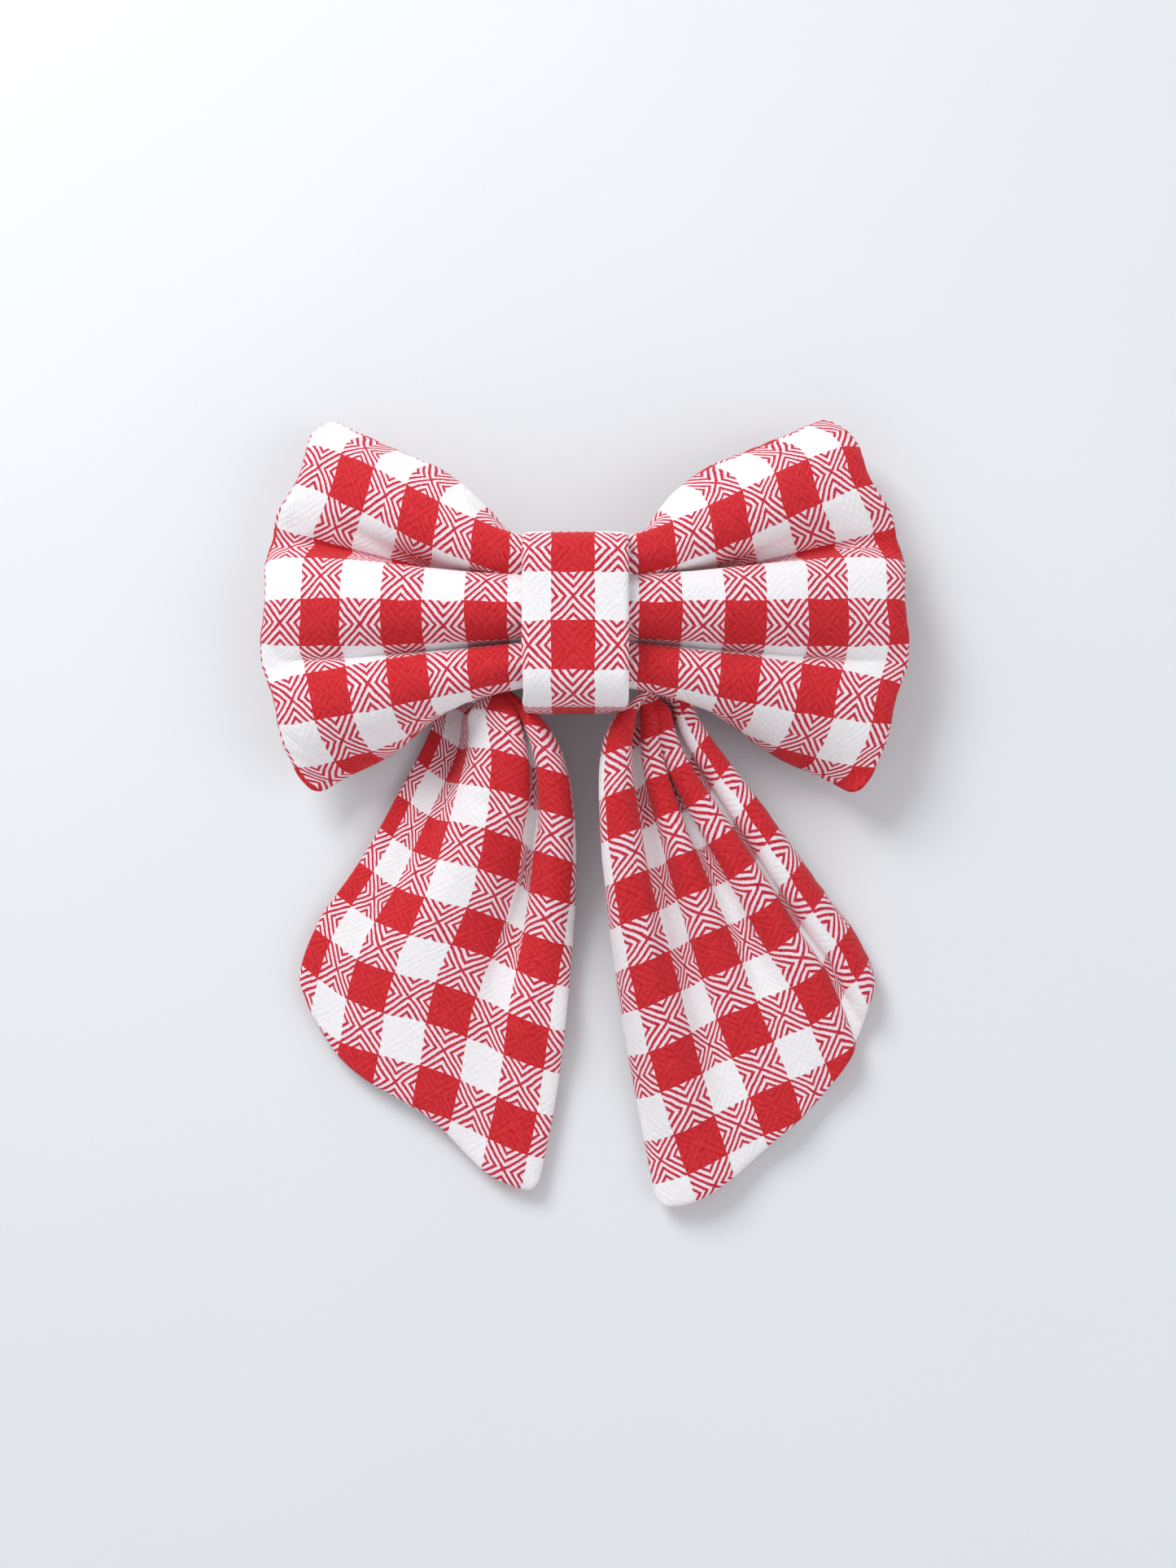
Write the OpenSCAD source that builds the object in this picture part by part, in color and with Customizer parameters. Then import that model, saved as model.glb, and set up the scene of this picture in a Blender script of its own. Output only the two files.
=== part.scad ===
// Sailor-style hair bow: a pinched, padded bow with two tails, a wrapped knot and a spring barrette.
// It lies on its barrette with its face up, +Y towards the top of the bow, +Z out of its front.

/* [Bow] */
// Length of the bow's left side along the cloth, from the middle of the knot
bow_left = 76; // [70:1:84]
// Length of the bow's right side along the cloth
bow_right = 81; // [70:1:86]
// Cloth above the bow's middle crease
bow_up = 49.5; // [46:0.5:52]
// Cloth below the bow's middle crease
bow_down = 45; // [42:0.5:48]
// Height of the bow's middle ridge at its outer ends
bow_end_z = 16.5; // [14:0.5:20]

/* [Tails] */
// Cloth across each tail at its outer corner
tail_w = 74; // [68:1:80]
// Length of each tail's inner edge, to the tip
tail_inner_l = 110; // [104:1:118]
// Length of each tail's outer edge, to the outer corner
tail_outer_l = 77; // [74:1:88]

/* [Cloth] */
// Thickness of one layer of cloth
cloth_t = 0.7; // [0.5:0.1:0.8]
// Half the fleece's thickness where the bow is full
fleece_half = 1.5; // [1:0.1:1.8]

/* [Knot] */
// Width of the knot's band
knot_w = 25; // [22:0.5:28]
// Height of the knot's band, across the bow
knot_h = 41; // [40.5:0.5:43]
// Highest face of the knot's band
knot_z1 = 36.5; // [36.4:0.1:37.5]

/* [Barrette] */
// Half the length of the barrette's base
base_half = 38.5; // [38:0.5:39.5]
// Width of the barrette's base
base_w = 8.4; // [8.2:0.2:9]
// Width of the clasp arm
arm_w = 5; // [4.6:0.1:5.2]
// Radius of the hinge pin
pin_r = 0.6; // [0.5:0.05:0.65]

/* [Hidden] */
$fn = 48;

// The knot's middle, from the origin in the middle of the object's box on the surface it rests on
knot_at = [-2.53, 38.22, 0];
gap = 0.05;
cloth_red = [0.8, 0.16, 0.2];
cloth_mid = [0.87, 0.6, 0.65];
cloth_white = [0.95, 0.95, 0.94];
steel = [0.75, 0.76, 0.78];
brass = [0.83, 0.71, 0.42];

function clamp(x) = min(1, max(0, x));
function smooth(x) = let (c = clamp(x)) c * c * (3 - 2 * c);
function mix(a, b, t) = a + (b - a) * t;
function steps(n) = [for (i = [0 : n]) i / n];
function sums(list) = [for (i = 0, s = 0; i <= len(list); s = s + (i < len(list) ? list[i] : 0), i = i + 1) s];

// ---- closed solids from grids of points -----------------------------------
function normal_at(grid, i, j) =
    let (m = len(grid) - 1, n = len(grid[0]) - 1,
         along = grid[min(m, i + 1)][j] - grid[max(0, i - 1)][j],
         over = grid[i][min(n, j + 1)] - grid[i][max(0, j - 1)],
         c = cross(along, over))
    c / norm(c);
function shifted(grid, height) =
    [for (i = [0 : len(grid) - 1]) [for (j = [0 : len(grid[0]) - 1]) grid[i][j] + height[i][j] * normal_at(grid, i, j)]];
function plus(heights, d) = [for (r = heights) [for (h = r) h + d]];
function minus(heights, d) = [for (r = heights) [for (h = r) -h - d]];

// One sheet of material between the heights lo and hi, measured along the grid's own normals
module layer(grid, lo, hi) {
    m = len(grid);
    n = len(grid[0]);
    k = m * n;
    top = shifted(grid, hi);
    low = shifted(grid, lo);
    function at(i, j) = i * n + j;
    polyhedron(
        points = [each [for (r = top) each r], each [for (r = low) each r]],
        faces = [
            for (i = [0 : m - 2], j = [0 : n - 2]) each [
                [at(i, j), at(i, j + 1), at(i + 1, j + 1)], [at(i, j), at(i + 1, j + 1), at(i + 1, j)],
                [k + at(i, j), k + at(i + 1, j + 1), k + at(i, j + 1)],
                [k + at(i, j), k + at(i + 1, j), k + at(i + 1, j + 1)]],
            for (i = [0 : m - 2]) each [
                [at(i, 0), at(i + 1, 0), k + at(i + 1, 0)], [at(i, 0), k + at(i + 1, 0), k + at(i, 0)],
                [at(i + 1, n - 1), at(i, n - 1), k + at(i, n - 1)],
                [at(i + 1, n - 1), k + at(i, n - 1), k + at(i + 1, n - 1)]],
            for (j = [0 : n - 2]) each [
                [at(0, j + 1), at(0, j), k + at(0, j)], [at(0, j + 1), k + at(0, j), k + at(0, j + 1)],
                [at(m - 1, j), at(m - 1, j + 1), k + at(m - 1, j + 1)],
                [at(m - 1, j), k + at(m - 1, j + 1), k + at(m - 1, j)]]]);
}

// ---- bow pouch ------------------------------------------------------------
// Across the bow the cloth runs in legs [start, end, steepness]; each leg's slope swells and fades,
// so folds keep the cloth's own length. Three ridges and two valleys come of it.
bow_legs = [[-60, -27, 0.85], [-27, -14, -1.1], [-14, 1, 1], [1, 18, -1.05], [18, 34, 0.95], [34, 62, -0.85]];
bow_v = [for (a = steps(26)) mix(-bow_down, bow_up, a)];
bow_grip = knot_w / 2 + 0.3;
function leg_slope(v) =
    let (g = [for (g = bow_legs) if (v >= g[0] && v < g[1]) g][0])
    g[2] * sin(180 * (v - g[0]) / (g[1] - g[0]));
// [y, z] of the cloth across the bow, t = 0 in the pinch and 1 at the outer edge
function bow_section(t) =
    let (held = sqrt(max(0, 1 - pow(t, 0.8))), swing = mix(11, 109, held), arch = 0.42 * (1 - held),
         mid = [for (i = [0 : len(bow_v) - 2]) (bow_v[i] + bow_v[i + 1]) / 2],
         slope = [for (v = mid) swing * leg_slope(v) - arch * (v + 2)],
         dv = bow_v[1] - bow_v[0],
         y = sums([for (a = slope) dv * cos(a)]),
         z = sums([for (a = slope) dv * sin(a)]),
         crest = 13,
         y0 = mix(0.9 - (y[26] + y[0]) / 2, 9.8 - y[crest], t),
         z0 = mix(31.6, bow_end_z, t) - z[crest])
    [for (i = [0 : 26]) [y[i] + y0, z[i] + z0]];
// The lower corners are drawn in towards the knot.
function drawn_in(v) = 1 - 0.12 * smooth((-v - 6) / 38);
function forward(step, a, b) = sqrt(max(0.2 * step * step, step * step - (b - a) * (b - a)));
function bow_half(full, side, n) =
    let (t = steps(n), step = (full - bow_grip) / n,
         s = [for (q = t) bow_section(q)],
         x = [for (i = 0, at = [for (v = bow_v) bow_grip]; i <= n;
                   at = i < n ? [for (j = [0 : 26]) at[j] + forward(step, s[i][j], s[i + 1][j])] : at, i = i + 1) at])
    [for (i = [0 : n]) [for (j = [0 : 26])
        [side * mix(bow_grip, x[i][j], drawn_in(bow_v[j])), s[i][j][0], s[i][j][1]]]];
bow_left_half = bow_half(bow_left, -1, 8);
bow_right_half = bow_half(bow_right, 1, 8);
bow_grid = [each [for (i = [8 : -1 : 0]) bow_left_half[i]], each bow_right_half];
// The fleece is thin at the seams and in the pinch, and full in the wings.
bow_half_t =
    let (m = len(bow_grid) - 1)
    [for (i = [0 : m]) [for (j = [0 : 26])
        let (end = min(i, m - i) * 8, edge = min(j, 26 - j) * 3.6, wing = smooth((abs(bow_grid[i][j][0]) - 10) / 30))
        0.35 + (mix(0.55, fleece_half, wing) - 0.35) * sqrt(smooth(end / 12) * smooth(edge / 10))]];
bow_skin = plus(bow_half_t, gap + cloth_t);

module bow_front_panel() {
    color(cloth_red) translate(knot_at) layer(bow_grid, plus(bow_half_t, gap), bow_skin);
}
module bow_back_panel() {
    color(cloth_mid) translate(knot_at) layer(bow_grid, minus(bow_half_t, gap + cloth_t), minus(bow_half_t, gap));
}
module bow_fleece() {
    color(cloth_white) translate(knot_at) layer(bow_grid, minus(bow_half_t, 0), bow_half_t);
}
// A thin rod from one point to another
module rod(a, b, r) {
    d = b - a;
    translate(a) rotate([0, acos(d[2] / norm(d)), atan2(d[1], d[0])]) cylinder(r = r, h = norm(d), $fn = 16);
}
// Hand stitches closing the turning slit, along a valley of the right wing's back
module bow_closing_stitches() {
    j = 9;
    color(cloth_white) translate(knot_at) for (i = [12 : 15], k = [0 : 2]) {
        a = bow_grid[i][j] - (bow_skin[i][j] + 0.24) * normal_at(bow_grid, i, j);
        b = bow_grid[i + 1][j] - (bow_skin[i + 1][j] + 0.24) * normal_at(bow_grid, i + 1, j);
        rod(mix(a, b, k / 3 + 0.05), mix(a, b, k / 3 + 0.25), 0.2);
    }
}

// ---- tails ----------------------------------------------------------------
// Each tail fans out from the knot: side, inner edge's start and bow, inner and outer angles, folds.
tail_y0 = -23.4;
left_tail = [-1, 4.5, -4.4, 62, 5.5, 0.5, 36, [[0, -1], [0.09, 0.75], [0.2, -0.8], [0.42, 0.9], [0.7, 0.4], [1, -1]]];
right_tail = [1, 9.5, -4, 60, 10.5, 1, 33,
    [[0, -1], [0.07, 0.8], [0.2, -0.9], [0.34, 0.9], [0.48, -0.9], [0.66, 0.9], [1, -1]]];
tail_root_w = 16;
function eased(table, a) =
    let (k = [for (i = [0 : len(table) - 2]) if (a >= table[i][0] && a <= table[i + 1][0]) i][0],
         p = table[k], q = table[k + 1])
    mix(p[1], q[1], smooth((a - p[0]) / (q[0] - p[0])));
function fan(tail, a) = mix(tail[5], tail[6], pow(a, 1.25));
function spread(tail, u, a) =
    min(0.955 * tail_w, tail_root_w + u * (tail[6] - tail[5]) * PI / 180 * 1.25 * pow(a, 0.25));
function tail_point(tail, a, b) =
    let (u = b * mix(tail_inner_l, tail_outer_l, a), n = 24,
         inner = tail[1] + tail[2] * sin(180 * clamp(u / tail[3])) + tail[4] * pow(u / tail_inner_l, 1.5),
         parts = [for (i = [0 : n - 1]) let (q = a * (i + 0.5) / n)
                  spread(tail, u, q) * a / n * [cos(fan(tail, q)), sin(fan(tail, q))]],
         out = [for (q = parts) 1] * parts,
         tall = mix(3.2, 1.7, clamp(u / 90)))
    [tail[0] * (inner + out[0]), tail_y0 - u * 0.985 + out[1],
     mix(13.6, 3.9, smooth(u / 92)) + tall * eased(tail[7], a) - 1.3 * clamp(u / 80) * a];
function tail_grid(tail) =
    let (cols = tail[0] > 0 ? steps(16) : [for (a = steps(16)) 1 - a])
    [for (b = [for (q = steps(9)) 1 - q]) [for (a = [for (c = cols) 1 - c]) tail_point(tail, a, b)]];
left_grid = tail_grid(left_tail);
right_grid = tail_grid(right_tail);
tail_half_t =
    [for (i = [0 : 9]) [for (j = [0 : 16])
        let (end = i * 11, edge = min(j, 16 - j) * 4)
        0.3 + (mix(1.05, 0.5, i / 9) - 0.3) * sqrt(smooth(end / 14) * smooth(edge / 9))]];

module tail_front(grid) {
    color(cloth_red) translate(knot_at) layer(grid, plus(tail_half_t, gap), plus(tail_half_t, gap + cloth_t));
}
module tail_back(grid) {
    color(cloth_mid) translate(knot_at) layer(grid, minus(tail_half_t, gap + cloth_t), minus(tail_half_t, gap));
}
module tail_core(grid) {
    color(cloth_white) translate(knot_at) layer(grid, minus(tail_half_t, 0), tail_half_t);
}
module tail_left_front_panel() { tail_front(left_grid); }
module tail_left_back_panel() { tail_back(left_grid); }
module tail_left_fleece() { tail_core(left_grid); }
module tail_right_front_panel() { tail_front(right_grid); }
module tail_right_back_panel() { tail_back(right_grid); }
module tail_right_fleece() { tail_core(right_grid); }

// ---- knot -----------------------------------------------------------------
knot_y = 0.95;
knot_z0 = 12.2;
band_t = 1.5;
pad_t = 0.8;
module round_rect(size, r) {
    square([size[0] - 2 * r, size[1]], center = true);
    square([size[0], size[1] - 2 * r], center = true);
    for (x = [-1, 1], y = [-1, 1]) translate([x * (size[0] / 2 - r), y * (size[1] / 2 - r)]) circle(r);
}
// A rounded sleeve round the bow, inset by d from the knot's outside and t thick
module sleeve(d, t, w) {
    size = [knot_h - 2 * d, knot_z1 - knot_z0 - 2 * d];
    translate([0, knot_y, (knot_z0 + knot_z1) / 2]) rotate([90, 0, 90]) linear_extrude(w, center = true)
        difference() {
            round_rect(size, 8 - d);
            round_rect(size - 2 * t * [1, 1], 8 - d - t);
        }
}
module knot_band() {
    color(cloth_red) translate(knot_at) sleeve(0, band_t, knot_w);
}
// The part of a sleeve over the bow's front and sides, open at the back
module open_sleeve(d, t, w) {
    difference() {
        sleeve(d, t, w);
        translate([0, knot_y, knot_z0 + 4]) cube([knot_w, knot_h, 12], center = true);
    }
}
module knot_fleece() {
    color(cloth_white) translate(knot_at) open_sleeve(band_t + gap, pad_t, knot_w - 2);
}
module knot_seam_stitches() {
    color(cloth_white) translate(knot_at) for (k = [-4 : 4], s = [-1, 1])
        if (s > 0 || k % 2 == 0)
            translate([k * 2.6, knot_y + s * 12, knot_z0 - 0.2])
                rotate([90, 0, 18 * s]) cylinder(r = 0.2, h = 2.6, center = true, $fn = 16);
}
// Thread over the bow's pinch, under the band
module bow_cinch_thread() {
    color(cloth_white) translate(knot_at) for (x = [-0.8, 0, 0.8]) translate([x, 0, 0])
        open_sleeve(band_t + pad_t + 2 * gap, 0.35, 0.5);
}
// The middle of the tails' strip lies gathered in pleats behind the bow. Past the band, both ends
// turn down and dip under the wings.
pleat_r = 0.95;
pleat_turns = [for (i = [0 : 3]) 7 + 1.95 * i];
pleat_x = knot_w / 2 + 0.1;
pleat_dip = 15;
pleat_sweep = 78;
strip_y = -18;
strip_z = 15;
module tail_gather() {
    color(cloth_mid) translate(knot_at) translate([0, strip_y, strip_z]) for (turn = pleat_turns) {
        translate([0, turn, 0]) rotate([0, 90, 0]) cylinder(r = pleat_r, h = 2 * pleat_x, center = true);
        for (side = [-1, 1]) translate([side * pleat_x, 0, 0]) {
            rotate([0, side * pleat_dip, 0]) rotate([0, 0, side > 0 ? 90 - pleat_sweep : 90])
                rotate_extrude(angle = pleat_sweep) translate([turn, 0]) circle(pleat_r);
            translate([0, turn, 0]) sphere(pleat_r + 0.1);
        }
    }
}
module tail_cinch_thread() {
    thread_gap = 0.03;
    thread_t = 0.27;
    mid = (pleat_turns[0] + pleat_turns[3]) / 2;
    inner = [pleat_turns[3] - pleat_turns[0], 0] + 2 * (pleat_r + thread_gap) * [1, 1];
    color(cloth_white) translate(knot_at) for (x = [-0.7, 0, 0.7])
        translate([x, strip_y + mid, strip_z]) rotate([90, 0, 90]) linear_extrude(0.4, center = true)
            difference() {
                round_rect(inner + 2 * thread_t * [1, 1], pleat_r + thread_t);
                round_rect(inner, pleat_r);
            }
}

// ---- barrette -------------------------------------------------------------
// Every long strip of the barrette is bent about one line below it, to the curve of a head.
arc_r = 130;
base_t = 1;
arc_z = knot_z0 + band_t + 0.65 - arc_r;
arm_top_r = 122.35;
arm_t = 1;
pin_at = [-36.7, knot_y, 1.9];
lug_in = arm_w / 2 + 0.3;
lug_t = 0.8;
latch_x = 33.7;
// A strip bent about the line at height z, from x0 to x1, between two radii
module bent(z, r0, r1, w, x0, x1) {
    a0 = acos(x1 / r1);
    a1 = acos(x0 / r1);
    translate([0, knot_y, z]) rotate([90, 0, 0]) rotate([0, 0, a0]) rotate_extrude(angle = a1 - a0)
        translate([r0, -w / 2]) square([r1 - r0, w]);
}
// A pin or a hole square to the bent strips, at x and between two radii
module radial(x, r, r0, r1) {
    translate([0, knot_y, arc_z]) rotate([0, asin(x / arc_r), 0]) translate([0, 0, r0]) cylinder(r = r, h = r1 - r0);
}
module barrette_base() {
    color(steel) translate(knot_at) {
        difference() {
            bent(arc_z, arc_r, arc_r + base_t, base_w, -base_half, base_half);
            radial(34.4, 0.7, arc_r - 1, arc_r + 2);
            for (x = [-24, -20, 20, 24]) radial(x, 0.9, arc_r - 1, arc_r + 2);
        }
        difference() {
            for (s = [-1, 1]) translate([pin_at[0] - 1.7, knot_y + s * (lug_in + lug_t / 2) - lug_t / 2, 0])
                cube([3.2, lug_t, 9.55]);
            translate(pin_at) rotate([90, 0, 0]) cylinder(r = pin_r, h = 12, center = true);
        }
    }
}
module barrette_hinge_pin() {
    color(brass) translate(knot_at) translate(pin_at) rotate([90, 0, 0]) {
        cylinder(r = pin_r, h = 2 * (lug_in + lug_t), center = true);
        for (s = [-1, 1]) translate([0, 0, s * (lug_in + lug_t + 0.2)]) cylinder(r = 1.1, h = 0.4, center = true);
    }
}
// The tension bar is a flatter spring strip whose ends lie against the base.
bar_half = 29;
bar_t = 0.5;
bar_drop = sqrt(arc_r * arc_r - bar_half * bar_half) + arc_z;
bar_top = 11.9;
bar_r = (bar_half * bar_half + (bar_top - bar_drop) * (bar_top - bar_drop)) / (2 * (bar_top - bar_drop));
module barrette_tension_bar() {
    color(steel) translate(knot_at) {
        bent(bar_top - bar_r, bar_r - bar_t, bar_r, 6.4, -bar_half + 0.1, bar_half - 0.1);
        for (s = [-1, 1]) bent(arc_z, arc_r - bar_t, arc_r, 6.4, min(s * 28.4, s * 31), max(s * 28.4, s * 31));
    }
}
module barrette_clasp_arm() {
    color(steel) translate(knot_at) difference() {
        union() {
            bent(arc_z, arm_top_r - arm_t, arm_top_r, arm_w, pin_at[0] + 0.5, 31.5);
            bent(arc_z, arm_top_r - arm_t, arm_top_r, 8.4, 30.6, 36.6);
            translate(pin_at) rotate([90, 0, 0]) cylinder(r = 1.45, h = arm_w, center = true);
        }
        translate(pin_at) rotate([90, 0, 0]) cylinder(r = pin_r + 0.06, h = 12, center = true);
        translate([latch_x, knot_y, 1.5]) cube([3.4, 5.2, 6], center = true);
    }
}
// The latch bracket is riveted under the base, with a flat foot over the two sprung ears.
module latch_bracket() {
    color(steel) translate(knot_at) difference() {
        union() {
            bent(arc_z, arc_r - 0.7, arc_r, 6, 31.8, 37.4);
            intersection() {
                translate([latch_x, knot_y, 8.45]) cube([3, 5.4, 2.5], center = true);
                translate([0, knot_y, arc_z]) rotate([90, 0, 0]) cylinder(r = arc_r - 0.3, h = 20, center = true);
            }
        }
        radial(34.4, 0.7, arc_r - 3, arc_r + 1);
    }
}
module latch_rivet() {
    color(brass) translate(knot_at) {
        radial(34.4, 0.7, arc_r - 0.7, arc_r + base_t);
        radial(34.4, 1.3, arc_r + base_t, arc_r + base_t + 0.5);
    }
}
ear_y = 2.02;
ear_t = 0.55;
ear_top = 6.8;
module latch_ear(s) {
    color(steel) translate(knot_at) translate([0, knot_y + s * ear_y, 0]) {
        translate([latch_x - 1.2, -ear_t / 2, 0.6]) cube([2.4, ear_t, ear_top - 0.6]);
        translate([latch_x - 1.2, 0, ear_top]) rotate([0, 90, 0]) cylinder(r = 0.35, h = 2.4);
        translate([latch_x - 1.2, s * 0.2, 0.65]) rotate([0, 90, 0]) cylinder(r = 0.3, h = 2.4);
        translate([latch_x, -ear_t / 2, 3]) cube([5.8, ear_t, 2.8]);
        translate([latch_x + 6, s * 0.25, 4.4]) rotate([90, 0, 0]) cylinder(r = 2.2, h = ear_t + 0.5, center = true);
    }
}
module latch_ear_upper() { latch_ear(1); }
module latch_ear_lower() { latch_ear(-1); }

bow_front_panel();
bow_back_panel();
bow_fleece();
bow_closing_stitches();
bow_cinch_thread();
tail_left_front_panel();
tail_left_back_panel();
tail_left_fleece();
tail_right_front_panel();
tail_right_back_panel();
tail_right_fleece();
tail_gather();
tail_cinch_thread();
knot_band();
knot_fleece();
knot_seam_stitches();
barrette_base();
barrette_tension_bar();
barrette_clasp_arm();
barrette_hinge_pin();
latch_bracket();
latch_rivet();
latch_ear_upper();
latch_ear_lower();
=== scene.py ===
# Hair bow: a padded, pinched bow of checked flannel with two tails, a wrapped knot and a spring
# barrette.
# Cloth shapes are worked out in millimetres from the knot's middle: x right, y up, z out of the front.
import math
import bpy
import numpy as np
from mathutils import Matrix, Vector


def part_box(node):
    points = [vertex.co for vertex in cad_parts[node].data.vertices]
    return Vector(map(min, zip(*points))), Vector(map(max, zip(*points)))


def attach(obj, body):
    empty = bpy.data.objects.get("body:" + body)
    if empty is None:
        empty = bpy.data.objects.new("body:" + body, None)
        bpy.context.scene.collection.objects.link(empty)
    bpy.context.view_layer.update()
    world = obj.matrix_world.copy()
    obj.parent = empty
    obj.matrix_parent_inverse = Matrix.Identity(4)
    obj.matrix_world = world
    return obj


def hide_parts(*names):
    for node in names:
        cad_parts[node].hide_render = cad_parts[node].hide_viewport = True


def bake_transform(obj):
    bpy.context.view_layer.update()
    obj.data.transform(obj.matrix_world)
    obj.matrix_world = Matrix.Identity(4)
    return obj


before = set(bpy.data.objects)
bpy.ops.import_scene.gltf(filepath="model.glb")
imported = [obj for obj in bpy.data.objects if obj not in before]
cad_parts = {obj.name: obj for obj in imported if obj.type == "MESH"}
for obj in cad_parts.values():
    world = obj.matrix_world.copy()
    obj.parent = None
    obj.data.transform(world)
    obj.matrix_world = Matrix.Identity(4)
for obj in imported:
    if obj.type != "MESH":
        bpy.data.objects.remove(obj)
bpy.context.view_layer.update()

MM = 0.001
band_lo, band_hi = (np.array(c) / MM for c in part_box("knot_band"))
KNOT_CY = 0.95                       # the knot's middle stands a little above the bow's crease
KNOT_AT = np.array([(band_lo[0] + band_hi[0]) / 2, (band_lo[1] + band_hi[1]) / 2 - KNOT_CY, 0])
CHECK = 10.0                         # one woven check
YARNS = 22                           # yarns in a check
STEP_U, STEP_V = 1.5, 1.15           # grid steps along and across the cloth
UV_UNIT = 100.0                      # millimetres of cloth in one unit of its coordinates


def place(points):
    """Points in millimetres from the knot's middle, in metres in the row frame."""
    return (np.asarray(points, float) + KNOT_AT) * MM


def smooth(x):
    c = np.clip(x, 0, 1)
    return c * c * (3 - 2 * c)


def mix(a, b, t):
    return a + (b - a) * t


def curve(x, points):
    """A smooth curve through a few points, with no overshoot between them."""
    xs, ys = np.array(points, float).T
    h = np.diff(xs)
    d = np.diff(ys) / h
    m = np.zeros(len(xs))
    m[0], m[-1] = d[0], d[-1]
    for i in range(1, len(xs) - 1):
        if d[i - 1] * d[i] > 0:
            m[i] = (h[i - 1] + h[i]) * d[i - 1] * d[i] / (h[i - 1] * d[i] + h[i] * d[i - 1])
    x = np.clip(x, xs[0], xs[-1])
    k = np.clip(np.searchsorted(xs, x, side="right") - 1, 0, len(xs) - 2)
    t = (x - xs[k]) / h[k]
    return ((2 * t**3 - 3 * t**2 + 1) * ys[k] + (t**3 - 2 * t**2 + t) * h[k] * m[k]
            + (-2 * t**3 + 3 * t**2) * ys[k + 1] + (t**3 - t**2) * h[k] * m[k + 1])


def sampled(a, i, j):
    """The grid a at fractional rows i and columns j."""
    i0, j0 = np.minimum(i.astype(int), a.shape[0] - 2), np.minimum(j.astype(int), a.shape[1] - 2)
    fi, fj = i - i0, j - j0
    if a.ndim == 3:
        fi, fj = fi[..., None], fj[..., None]
    return ((1 - fi) * ((1 - fj) * a[i0, j0] + fj * a[i0, j0 + 1])
            + fi * ((1 - fj) * a[i0 + 1, j0] + fj * a[i0 + 1, j0 + 1]))


# ---- the bow's cloth --------------------------------------------------------
# u runs along the bow from the knot, v across it; both are measured on the cloth.
BOW_UP, BOW_DOWN = 55.0, 45.0        # how far the cloth reaches above and below the middle
BOW_LEFT, BOW_RIGHT = 76.0, 80.2     # how far each wing reaches
GRIP = 11.5                          # half the length that the knot holds
# The upper edge, from the knot (0) to the wing's end (1)
BOW_TOP = [(0, 49), (0.2, 49.5), (0.5, 54), (0.75, 55), (1, 52.5)]
LEFT_LOWER = 1.2                     # the left wing's upper edge is this much lower
NEAR = 10.0                          # how far the lower edge is taken in by the knot
# The cloth's slope across the bow, in degrees: gathered at the knot, and open at each outer end
PINCH = [(-45, 150), (-38, 140), (-33, 108), (-29, 58), (-24.5, 6), (-21, -34), (-17.5, -88),
         (-15.6, -92), (-13.5, 0), (-11.4, 92), (-9.5, 88), (-6.5, 74), (-2.5, 40), (1.5, 0),
         (5.5, -30), (9, -52), (12.5, -108), (16.5, -112), (21, 0), (25.5, 112), (30, 92),
         (33, 34), (36.5, 0), (40, -36), (43, -84), (49.5, -104)]
OPEN_LEFT = [(-45, 26), (-29, 8), (-21, -12), (-14.5, 2), (-7, 14), (0.5, 0), (9, -16), (13, -30),
             (16, 0), (21, 26), (31, 0), (40, -20), (49.5, -34)]
OPEN_RIGHT = [(-45, 24), (-29, 6), (-21, -12), (-14.5, 2), (-7, 14), (0.5, 0), (9, -16), (13, -30),
              (16, 0), (21, 26), (31, 0), (40, -18), (49.5, -32)]
CREST_V = 0.5                        # where the middle fold's crest runs
CREST_Y, CREST_Z = (3.0, 7.0), (32.4, 17.0)     # its place at the knot and at the outer end
GATHER = 0.5                         # height of the small gathers beside the knot
FIRST_COL, FIRST_ROW = 5.5, 1.5      # where the bow's checks start, along and across it


def bow_section(t, v, open_slope):
    """y and z across the bow, t = 0 at the knot and 1 at the outer end."""
    vm = (v[1:] + v[:-1]) / 2
    # the outer edges open before the middle does
    early = smooth(t / 0.3) * (1 - smooth((t - 0.4) / 0.6))
    top = 0.8 * smooth((vm - 33) / 8)
    bottom = 0.5 * smooth((t - 0.2) / 0.6) * smooth((-vm - 27) / 8)
    held = (1 - t ** 1.2) ** 0.75 * (1 - early * (top + bottom))
    slope = np.radians(held * curve(vm, PINCH) + (1 - held) * curve(vm, open_slope))
    y = np.concatenate([[0], np.cumsum(np.cos(slope) * np.diff(v))])
    z = np.concatenate([[0], np.cumsum(np.sin(slope) * np.diff(v))])
    y += mix(*CREST_Y, (smooth(t) + t) / 2) - np.interp(CREST_V, v, y)
    z += mix(*CREST_Z, t ** 1.2) - np.interp(CREST_V, v, z)
    z += GATHER * math.exp(-9 * t) * np.sin(1.15 * v + 1.4 * np.sin(0.31 * v))
    return np.stack([y, z], -1)


def bow_half(full, side, open_slope, v, step):
    n = round((full - GRIP) / step)
    u = np.linspace(GRIP, full, n + 1)
    yz = np.array([bow_section(t, v, open_slope) for t in np.linspace(0, 1, n + 1)])
    move = (np.diff(yz, axis=0) ** 2).sum(-1)
    ds = u[1] - u[0]
    x = GRIP + np.vstack([0 * v, np.cumsum(np.sqrt(np.maximum(0.2 * ds * ds, ds * ds - move)), 0)])
    # The long edges are drawn in towards the knot, less so the pointed corners.
    drawn = 1 - 0.09 * smooth((-v - 6) / 34) + 0.05 * smooth((-v - 35) / 9)
    drawn = drawn - (0.078 + 0.008 * side) * smooth((v - 12) / 36)
    drawn = drawn + 0.045 * (side < 0) * smooth((v - 41) / 10)
    return u * side, np.dstack([side * mix(GRIP, x, drawn), yz])


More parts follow.
